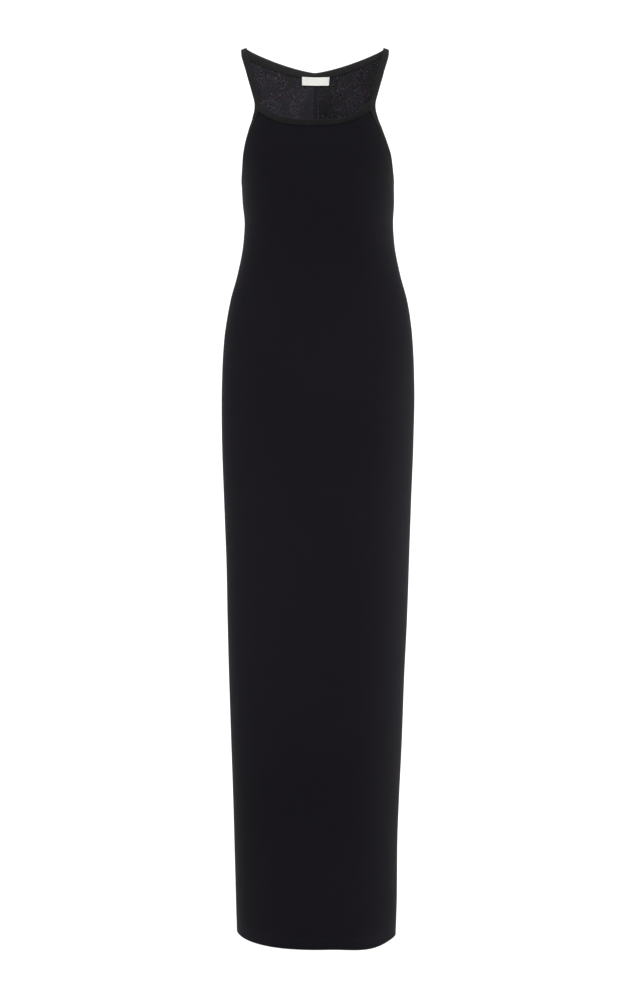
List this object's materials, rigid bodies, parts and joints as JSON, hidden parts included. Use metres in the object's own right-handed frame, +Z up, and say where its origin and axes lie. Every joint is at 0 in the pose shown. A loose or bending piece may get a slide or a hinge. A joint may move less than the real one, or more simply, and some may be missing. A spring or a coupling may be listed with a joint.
{
  "type": "maxi dress",
  "caption": "Sleeveless column maxi dress in black jersey, worn shape and hollow, with a scooped neck, narrow bound straps, bound armholes and a centre-back seam",
  "frame": {"origin": "midway between the two shoulder crests of the straps, where the wearer's shoulders hold the dress up", "axes": "+Z up, the front faces -Y, +X is the wearer's left"},
  "size_m": [0.3171, 0.239, 1.466],
  "materials": {
    "jersey": "matte black jersey",
    "binding": "matte black folded jersey",
    "label": "bare woven off-white"
  },
  "bodies": {
    "root": {"front": "jersey", "back_left": "jersey", "back_right": "jersey", "neck_binding_front": "binding", "neck_binding_back": "binding", "armhole_binding_left": "binding", "armhole_binding_right": "binding", "neck_label": "label", "centre_back_seam": "jersey"}
  },
  "joints": []
}
